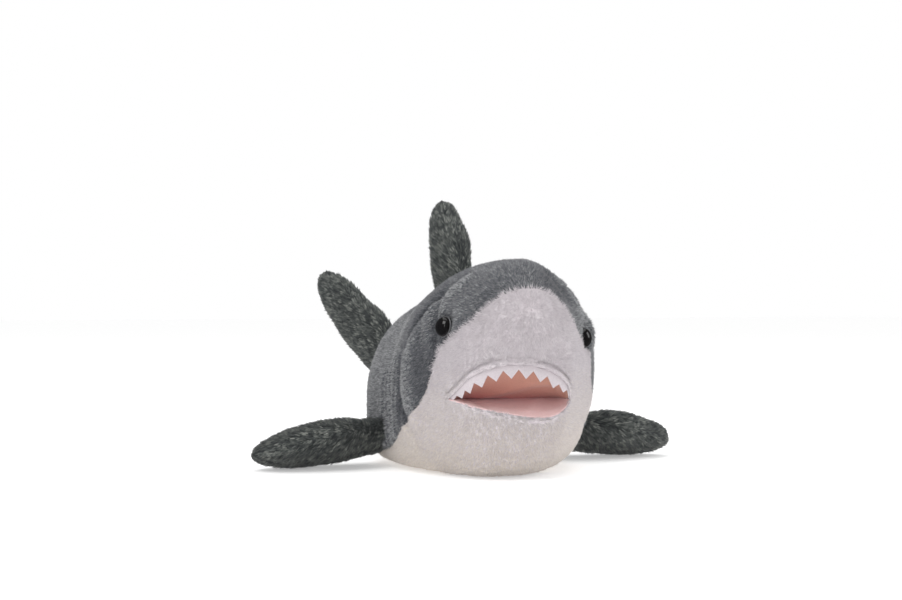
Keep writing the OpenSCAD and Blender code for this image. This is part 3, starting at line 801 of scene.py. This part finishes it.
# Tufts stand up along the lower lip
brim = np.repeat(np.clip(1.1 - 34 * CHIN_V, 0, 1), chin.shape[1])
roots, n, f, brim = scatter(verts, faces, n, f, 2.7, None, brim[:, None])
brim = brim[:, 0]
f = unit(f + (np.array([0, -0.3, 1.0]) - f) * (0.8 * brim)[:, None])
f = unit(f - n * (f * n).sum(1, keepdims=True) + 1e-6)
# Painted light: the standing tufts along the lip are made lighter against their own shadow
white_pile("chin_pile", roots, n, f, 2.2 + 0.5 * brim, 58 - 12 * brim, ride_jaw, spread=0.55, gather=0.35,
           soft=0.95, cream=1 - 0.6 * brim, painted_shading=0.25 * brim)

# Belly, white
for name, rows, rider in (("belly_skin", row_stations(BELLY_S, MIDDLE_S, 1.4), ride_neck),
                          ("rear_belly_skin", row_stations(MIDDLE_S, END_S, 1.8), ride_tail)):
    edges = [side_a(rows, side) if name == "belly_skin" else grey_a(rows) for side in (1, -1)]
    p = body_grid(rows, edges[0], 360 - edges[1], 71)
    ob = shell(name, p, CREAM_BASE)
    dress(ob, rider, "white_plush", 0.8, "belly_panel")
    verts, faces, n, f = flat_grid(p)
    # Thinner pile underneath
    keep = np.clip(verts[:, 2] / 4 + 0.25, 0.25, 1)
    roots, n, f = scatter(verts, faces, n, f, 2.0, keep)
    # Where the belly rests, the pile lies flat
    flat = np.clip((5 - roots[:, 2]) / 4, 0, 1)
    white_pile(name.replace("skin", "pile"), roots, n, f, 2.2 - 0.9 * flat, 60 + 24 * flat, rider, width=0.62)

# ---- Fins ----

FIN_DENSITY, FIN_LENGTH = 1.9, 4.2  # tufts for each mm2, and mm


def pad_rings(rows, count=40, between=5):
    """Rings of points round a pad, from the root to the tip."""
    x, rings = rows[:, 0], []
    a = np.radians(360 * (np.arange(count) + 0.5) / count)
    for i in range(len(x) - 1):
        for q in np.linspace(x[i], x[i + 1], between, endpoint=False):
            rings.append(pad_ring(rows, q, a))
    return np.array(rings + [pad_ring(rows, x[-1], a)])


def pad_ring(rows, q, a):
    sweep, chord, thick, twist = (float(smooth(rows, c, q)) for c in range(1, 5))
    y = (chord - np.minimum(PAD_D, 0.5 * chord)) * np.cos(a)
    z = (thick - np.minimum(PAD_D, 0.55 * thick)) * power(np.sin(a), 0.92)
    c, s = math.cos(math.radians(twist)), math.sin(math.radians(twist))
    return np.stack([np.full_like(y, q), sweep + y * c - z * s, y * s + z * c], -1)


def closed_loft(rings):
    """Points and triangles of a closed form through rings of points."""
    m, n = rings.shape[:2]
    verts = np.concatenate([rings.reshape(-1, 3), rings[0].mean(0)[None], rings[-1].mean(0)[None]])
    j = np.arange(n)
    k = (j + 1) % n
    body = triangles(grid_faces(m, n, True))
    last, centre = (m - 1) * n, j * 0 + m * n
    caps = [np.stack([centre, k, j], -1), np.stack([centre + 1, last + j, last + k], -1)]
    return verts, np.concatenate([body, *caps])


VOXEL, SWELL = 3.5, 1.6  # mm: the remesh's cells, and how far the cloth may move a point
CLOTH_FRAMES = 20


def read(items, name, each, kind, columns_out):
    """An attribute of a mesh's items, of so many numbers each, in rows."""
    out = np.zeros(len(items) * each, kind)
    items.foreach_get(name, out)
    return out.reshape(-1, columns_out)


def points(me):
    return read(me.vertices, "co", 3, np.float32, 3)


def puffed(name, verts, faces):
    """The pad remeshed and blown up a little by a cloth simulation, in its own frame."""
    ob = new_mesh(name, verts, faces, [])
    bpy.context.view_layer.objects.active = ob
    m = ob.modifiers.new("remesh", "REMESH")
    m.mode, m.voxel_size = "VOXEL", VOXEL * TO_M
    dg = bpy.context.evaluated_depsgraph_get()
    me = bpy.data.meshes.new_from_object(ob.evaluated_get(dg))
    ob.modifiers.clear()
    old = ob.data
    ob.data = me
    bpy.data.meshes.remove(old)
    start = points(me)
    cloth = ob.modifiers.new("cloth", "CLOTH")
    cloth.settings.use_pressure = True
    cloth.settings.uniform_pressure_force = 4.0
    cloth.settings.effector_weights.gravity = 0.0
    cloth.settings.quality = 4
    cloth.settings.mass = 0.2
    cloth.settings.tension_stiffness = 12
    cloth.settings.compression_stiffness = 12
    cloth.settings.bending_stiffness = 0.4
    cloth.point_cache.frame_start, cloth.point_cache.frame_end = 1, CLOTH_FRAMES
    scene = bpy.context.scene
    for frame_no in range(1, CLOTH_FRAMES + 1):
        scene.frame_set(frame_no)
    dg = bpy.context.evaluated_depsgraph_get()
    move = points(ob.evaluated_get(dg).to_mesh()) - start
    ob.evaluated_get(dg).to_mesh_clear()
    ob.modifiers.clear()
    scene.frame_set(1)
    far = np.linalg.norm(move, axis=1, keepdims=True)
    move *= np.minimum(1, SWELL * TO_M / np.maximum(far, 1e-9))
    me.vertices.foreach_set("co", (start + move).ravel())
    me.update()
    sub = ob.modifiers.new("subdivision", "SUBSURF")
    sub.levels = sub.render_levels = 1
    dg = bpy.context.evaluated_depsgraph_get()
    fine = bpy.data.meshes.new_from_object(ob.evaluated_get(dg))
    v, quads = points(fine), read(fine.loops, "vertex_index", 1, np.int32, 4)
    bpy.data.meshes.remove(fine)
    bpy.data.objects.remove(ob)
    return v.astype(float) / TO_M, quads


def vertex_normals(verts, faces):
    t = triangles(faces)
    fn = np.cross(verts[t[:, 1]] - verts[t[:, 0]], verts[t[:, 2]] - verts[t[:, 0]])
    n = np.zeros_like(verts)
    for k in range(3):
        np.add.at(n, t[:, k], fn)
    return unit(n)


def pad_mesh(name, rows):
    """The blown-up pad with the seam round its edge: points and quads."""
    verts, faces = closed_loft(pad_rings(rows))
    verts, faces = puffed(name + "_try", verts, faces)
    n = vertex_normals(verts, faces)
    # Seam round the edge, between the two panels, and a soft unevenness
    t = np.radians(np.array([float(smooth(rows, 4, x)) for x in verts[:, 0]]))
    sweep, chord = smooth(rows, 1, verts[:, 0]), smooth(rows, 2, verts[:, 0])
    y, z = verts[:, 1] - sweep, verts[:, 2]
    flat_z = -y * np.sin(t) + z * np.cos(t)
    edge = np.clip((np.abs(y) / np.maximum(chord, 1)) * 2 - 0.9, 0, 1)
    tip = np.clip((verts[:, 0] - rows[-1, 0] + 8) / 8, 0, 1)
    groove = 1.3 * bump(flat_z, 1.6) * np.maximum(edge, tip)
    verts = verts - n * groove[:, None] + n * (0.5 * lumps(verts * 2.2))[:, None]
    return verts, faces


def fin(name, rows, place, rider, nodes, mirror=False, back_lie=0.35):
    """A fin's skin and its pile, made along x and put in place, and mirrored for the right flank."""
    verts, faces = pad_mesh(name, rows)
    n = vertex_normals(verts, faces)
    flow = np.tile([1.0, back_lie, 0.0], (len(verts), 1))
    roots = scatter(verts, faces, n, flow, FIN_DENSITY)
    # Shorter pile at the sewn root and at the tip
    out = roots[0][:, 0]
    at_root = 0.75 + 0.25 * ease((out - 4) / 20)
    at_tip = 1 - 0.4 * ease((out - rows[-1, 0] + 12) / 12)
    lengths = FIN_LENGTH * at_root * at_tip

    def put(p, vector=False):
        q = place(p, vector)
        if mirror:
            q = q * np.array([-1.0, 1.0, 1.0])
        return q

    ob = new_mesh(f"{name}_skin", put(verts), faces[:, ::-1] if mirror else faces, [FIN_BASE])
    dress(ob, rider, "fin_plush", 0.75, *nodes)
    fur = pile(f"{name}_pile", put(roots[0]), put(roots[1], True), put(roots[2], True), lengths, 0.72, 64,
               FIN_PILE, spread=0.24, gather=0.45, clump=9, curl=0.1, weights=[1.2, 2.2, 2.4, 1.8, 1.0, 0.4],
               streak=0.5, soft=0.68)
    rider(fur)


def placed(matrix, offset):
    def place(p, vector=False):
        q = p @ matrix.T
        return q if vector else q + offset
    return place


pectoral_turn = rotation("x", -28) @ rotation("y", 6)
PECTORAL_AT = np.array([62.0, 4.0, 19.5])
for side, word in ((1, "left"), (-1, "right")):
    fin(f"pectoral_{word}", PECTORAL, placed(pectoral_turn, PECTORAL_AT),
        bend(),
        (f"pectoral_top_panel_{word}", f"pectoral_under_panel_{word}", f"pectoral_stuffing_{word}"),
        mirror=side < 0)

dorsal_turn = rotation("x", -17) @ rotation("y", -90)
DORSAL_AT = np.array([0.0, 28.0, 110.5])
fin("dorsal", DORSAL, placed(dorsal_turn, DORSAL_AT), bend(),
    ("dorsal_panel_right", "dorsal_panel_left", "dorsal_stuffing"))

swing = rotation("z", TAIL_SWING)
TAIL_PIVOT = np.array([0.0, TAIL_Y, 0.0])
TWIST_AT = np.array([0.0, TWIST_Y, 60.0])
twist_rest = (TWIST_AT - TAIL_PIVOT) @ swing.T + TAIL_PIVOT
for name, rows, lean in (("upper_lobe", UPPER_LOBE, 46), ("lower_lobe", LOWER_LOBE, 140)):
    turn = swing @ rotation("y", -TAIL_ROLL) @ rotation("x", -lean) @ rotation("y", -90)
    fin(name, rows, placed(turn, twist_rest),
        bend(),
        (f"{name}_panel_right", f"{name}_panel_left", f"{name}_stuffing"), back_lie=0.2)

# ---- Mouth ----


def arch_point(t, s, way, grow=0.0):
    """Point of the mouth's wall: t from 0 at the right corner to 180 at the left, at station s."""
    t, s = np.broadcast_arrays(np.radians(t), np.asarray(s, float))
    height = MOUTH_RISE * np.sin(t) if way > 0 else lower_drop(-MOUTH_HALF_W * np.cos(t))
    x = MOUTH_X - (MOUTH_HALF_W - grow) * np.cos(t)
    z = MOUTH_Z - 0.4 + way * (share(s) * height - grow)
    return np.stack([x, s - ORIGIN_S, z], -1)


def lining(name, colours, p, deep, rider, node):
    """Lining of the mouth, with painted shade by its points' depth in the mouth, from 0 to 1."""
    m = principled(name + "_fabric", colours[1], 0.8, 0.25)
    nt = m.node_tree
    at = nt.nodes.new("ShaderNodeAttribute")
    at.attribute_name = "deep"
    weave = noise(nt, 1300, 3, 0.6)
    # Painted shade: the colour goes darker with depth
    shade = ramp(nt, at.outputs["Fac"], list(zip((0.0, 0.55, 0.86, 1.0), colours)))
    speck = ramp(nt, weave, [(0.25, (0.42, 0.42, 0.42, 1)), (0.75, (0.6, 0.6, 0.6, 1))])
    nt.links.new(mix(nt, "OVERLAY", 0.5, shade, speck), nt.nodes["Principled BSDF"].inputs["Base Color"])
    add_bump(m, weave, 0.5, 0.0003)
    ob = shell(name, p, m, 0.9)
    at = ob.data.attributes.new("deep", "FLOAT", "POINT")
    at.data.foreach_set("value", np.concatenate([deep.ravel(), deep.ravel()]).astype(np.float32))
    rider(ob)
    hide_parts(node)


T = np.linspace(1, 179, 81)[None]  # round the arch, from the right corner to the left
V = np.linspace(0, 1, 34)[:, None]  # from the lip back to the crease


def at_x(t):
    return MOUTH_X - MOUTH_HALF_W * np.cos(np.radians(t))


def upper_station(t):
    """Station of the upper lip at an angle round the arch."""
    return np.interp(at_x(t), upper_x, upper_s)


def lower_station(t):
    return np.interp(at_x(t), lower_x, lower_s)


# Roof: from behind the upper lip back to the crease
front = upper_station(T) + 3.0
roof = arch_point(T, front + (56 - front) * V, 1, 0.4)
roof[..., 2] += 1.2 * (1 - V) ** 3
sag = np.sin(math.pi * V) * np.sin(np.radians(T)) ** 0.8
slant = 150 - 95 * V  # the fold runs from the left corner's height across the roof
fold = bump(T - slant, 17) * np.sin(math.pi * np.clip(0.15 + V * 0.85, 0, 1))
roof[..., 2] -= 1.4 * sag + 2.6 * fold
roof[..., 1] += 0.8 * np.sin(np.radians(T * 3)) * V
# Colours of the palate, darkening into painted shade at the crease
PALATE_AND_SHADE = [srgb(184, 140, 122), srgb(182, 125, 113), srgb(196, 120, 117), srgb(116, 40, 44)]
# Painted shade: deeper towards the crease and on the lower side of the fold
roof_painted_shade = np.clip(0.75 * V + 0.3 * ease((V * 95 + 30 - T) / 60) * V + 0.12 * V**6, 0, 1)
lining("palate", PALATE_AND_SHADE, on_head(roof[:, ::-1]), roof_painted_shade[:, ::-1], ride_head,
       "palate_lining")
# Floor: from the lower lip back to the crease
front = lower_station(T) + 0.4
bed = arch_point(T, front + (56.5 - front) * V, -1, -0.2)
arch = np.sin(math.pi * V)
bed[..., 2] += 1.1 * arch * (0.5 + 0.5 * np.cos(np.radians(T * 2 + 40)))
bed[..., 2] += 0.9 * bump(T - (100 + 30 * V), 10) * arch - 0.9 * bump(T - (70 - 24 * V), 7) * arch
# Colours of the tongue, darkening into painted shade at the crease
TONGUE_AND_SHADE = [srgb(228, 196, 196), srgb(224, 188, 190), srgb(210, 158, 160), srgb(128, 46, 52)]
bed_painted_shade = np.broadcast_to(V**1.6, bed.shape[:2])
lining("tongue", TONGUE_AND_SHADE, on_head(bed), bed_painted_shade, ride_jaw, "tongue_lining")


def tube(name, path, radius, material, sides=12):
    """Closed rounded roll along a line of points."""
    along = unit(np.gradient(path, axis=0))
    n1 = unit(np.cross(along, np.array([0.0, 0.0, 1.0])) + 1e-6)
    n2 = np.cross(along, n1)
    radius = np.broadcast_to(radius, len(path))
    ang = 2 * math.pi * np.arange(sides) / sides
    ring = n1[:, None] * np.cos(ang)[None, :, None] + n2[:, None] * np.sin(ang)[None, :, None]
    rings = path[:, None] + radius[:, None, None] * ring
    return new_mesh(name, *closed_loft(rings), [material])


# Lips: soft rolls along the edges of the opening
def lip_path(s, a, shift):
    return on_head(plain_skin(s, signed(a), PILE_D + 0.6) + np.asarray(shift))


LIP_R = 1.3
for name, path, rider in (("upper_lip", lip_path(upper_s, upper_a, (0, 1.3, 0.6)), ride_head),
                          ("lower_lip", lip_path(lower_s, lower_a, (0, 1.6, -1.0)), ride_jaw)):
    ends = np.clip(1.25 * np.sin(np.linspace(0.05, math.pi - 0.05, len(path))) ** 0.4, 0, 1)
    ob = tube(name, path, LIP_R * ends, WHITE_BASE)
    rider(ob)

# Teeth: one zigzag strip of felt
FELT = principled("felt", srgb(196, 188, 192), 0.92, 0.3)
felt_grain = grained(FELT, (1500, 4, 0.7), [(0.3, srgb(184, 175, 180)), (0.7, srgb(202, 195, 198))])
add_bump(FELT, felt_grain, 0.5, 0.0003)
TEETH, PER_TOOTH, LEVELS = 11, 12, 6  # teeth, columns for each, and rows down each
FELT_HALF = 0.55  # half the felt's thickness in mm
fine_t = np.linspace(5, 176, 721)
strip = arch_point(fine_t, upper_station(fine_t) + 1.5, 1, 0.3)
strip[:, 2] += 0.9
run = run_along(strip)
count = TEETH * PER_TOOTH
q = np.linspace(0, run[-1], count + 1)
top_line = np.stack([np.interp(q, run, strip[:, i]) for i in range(3)], -1)
t_at = np.interp(q, run, fine_t)
phase = (np.arange(count + 1) / PER_TOOTH) % 1.0
spike = 1 - np.abs(2 * phase - 1)
tall = np.clip(np.sin(np.radians(t_at)) * 1.25 - 0.04, 0.2, 1)
drop = (3.6 + 1.3 * bump(np.abs(t_at - 90) - 50, 22)) * np.clip(tall * 1.3, 0.4, 1) + 5.2 * tall * spike
# The teeth point down, and a little inward and forward
lead = unit(np.stack([-0.22 * top_line[:, 0] / MOUTH_HALF_W, -0.10 + 0 * q, -np.ones_like(q)], -1))
front = np.array([top_line + lead * (drop * k / LEVELS)[:, None] for k in range(LEVELS + 1)])
front[0] += np.array([0, 1.5, 1.2])
across_n = unit(np.cross(np.gradient(top_line, axis=0), lead))
room = np.clip(drop / 4, 0.3, 1)[None, :, None] * np.array([1, 1, 1, 1, 1, 0.8, 0.35])[:, None, None]
thick = across_n[None] * FELT_HALF * room
teeth = closed_sheet("felt_teeth", on_head(front - thick), on_head(front + thick), FELT, smooth_shade=False)
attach(teeth, "head")
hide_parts("teeth_strip")

# ---- Eyes ----

GLOSS = principled("eye_gloss", (0.004, 0.004, 0.005, 1), 0.07, 0, 0.0)
grained(GLOSS, (60, 2, 0.5), [(0.3, (0.003, 0.003, 0.004, 1)), (0.8, (0.007, 0.006, 0.006, 1))])
# Rim colour: partly the washer's dark colour, partly painted highlight for its bright crescent
RIM_AND_HIGHLIGHT = principled("eye_rim_painted_highlight", (0.1, 0.1, 0.105, 1), 0.22, 0, 0.6)


def revolve(profile, count=64):
    """Closed form of a profile turned about z."""
    ang = 2 * math.pi * np.arange(count) / count
    rings = np.array([np.stack([r * np.cos(ang), r * np.sin(ang), z + 0 * ang], -1) for r, z in profile])
    return closed_loft(rings)


# Radius and height of each profile, from the back to the front
EYE_R, EYE_RISE = 5.9, 4.6
DOME = [(5.8, -1.2)] + [(EYE_R * math.cos(t), 0.9 + EYE_RISE * math.sin(t))
                        for t in np.radians(np.linspace(0, 90, 18))[:-1]] + [(0.02, 5.5)]
RING = [(5.4, -1.4), (5.7, 0.2), (6.3, 0.0), (6.6, 0.35), (6.65, 0.75), (6.4, 1.1), (6.05, 1.15), (5.75, 0.9)]
for side, word in ((1, "right"), (-1, "left")):
    centre = plain_skin(*EYES[side])
    n = unit(outward(*EYES[side]) + np.array([0, -0.10, 0.0]))
    x = unit(np.cross(np.array([0.0, 0.0, 1.0]), n))
    basis = np.stack([x, np.cross(n, x), n])
    for part, profile, material in (("dome", DOME, GLOSS), ("rim", RING, RIM_AND_HIGHLIGHT)):
        verts, faces = revolve(profile)
        verts = on_head(verts @ basis + centre - n * 1.0)
        ob = new_mesh(f"eye_{part}_{word}", verts, faces, [material])
        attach(ob, "head")
        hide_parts(f"eye_{word}" if part == "dome" else f"eye_washer_{word}")

# ---- Camera, light and floor ----

scene = bpy.context.scene
cam_data = bpy.data.cameras.new("camera")
SENSOR_MM, FOCAL_PX, IMAGE_W = 36.0, 1579, 902
cam_data.sensor_width, cam_data.lens, cam_data.shift_y = SENSOR_MM, SENSOR_MM * FOCAL_PX / IMAGE_W, 0.0033
cam = bpy.data.objects.new("camera", cam_data)
scene.collection.objects.link(cam)
scene.camera = cam
cam.location = (-0.4042, -0.9648, 0.106)
cam.rotation_euler = Vector((0.3746, 0.9272, 0)).to_track_quat("-Z", "Y").to_euler()
cam_data.clip_start, cam_data.clip_end = 0.01, 50

world = bpy.data.worlds.new("studio")
scene.world = world
world.use_nodes = True
wt = world.node_tree
path_node = wt.nodes.new("ShaderNodeLightPath")


def glow(strength):
    node = wt.nodes.new("ShaderNodeBackground")
    node.inputs["Color"].default_value = (1, 1, 1, 1)
    node.inputs["Strength"].default_value = strength
    return node.outputs[0]


def choose(ray, otherwise, then):
    """One background for a kind of ray, and another for the rest."""
    node = wt.nodes.new("ShaderNodeMixShader")
    wt.links.new(path_node.outputs[ray], node.inputs["Fac"])
    wt.links.new(otherwise, node.inputs[1])
    wt.links.new(then, node.inputs[2])
    return node.outputs[0]


# Gloss mirrors a darker room, so that the eyes stay black between the highlights
wt.nodes.remove(wt.nodes["Background"])
sky = choose("Is Glossy Ray", choose("Is Camera Ray", glow(0.72), glow(1.0)), glow(0.1))
wt.links.new(sky, wt.nodes["World Output"].inputs["Surface"])


def softbox(name, place, target, size, power_w):
    light = bpy.data.lights.new(name, "AREA")
    light.shape, light.size, light.size_y, light.energy = "RECTANGLE", size[0], size[1], power_w
    ob = bpy.data.objects.new(name, light)
    scene.collection.objects.link(ob)
    ob.location = place
    ob.rotation_euler = (Vector(target) - Vector(place)).to_track_quat("-Z", "Y").to_euler()


softbox("key", (-0.9, -0.7, 1.3), (0, 0, 0.05), (0.9, 0.9), 9)
softbox("top", (0.2, 0.3, 1.6), (0, 0, 0.05), (1.4, 1.4), 7)
softbox("sparkle", (-0.75, -0.95, 0.42), (0, -0.1, 0.09), (0.1, 0.1), 1.2)
softbox("side", (1.1, -0.5, 0.6), (0, 0, 0.08), (0.6, 0.9), 4)

paper = principled("floor_paper", (0.92, 0.92, 0.92, 1), 0.95)
paper.node_tree.nodes["Principled BSDF"].inputs["Emission Color"].default_value = (1, 1, 1, 1)
paper.node_tree.nodes["Principled BSDF"].inputs["Emission Strength"].default_value = 0.36
corners = 9000 * np.array([[-1, -1, 0], [1, -1, 0], [1, 1, 0], [-1, 1, 0]], float)  # 18 m wide
floor = new_mesh("floor", corners, [[0, 1, 2, 3]], [paper])
floor.visible_glossy = False  # the eyes stay black
floor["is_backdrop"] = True
scene.view_settings.view_transform = "Standard"

low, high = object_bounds()
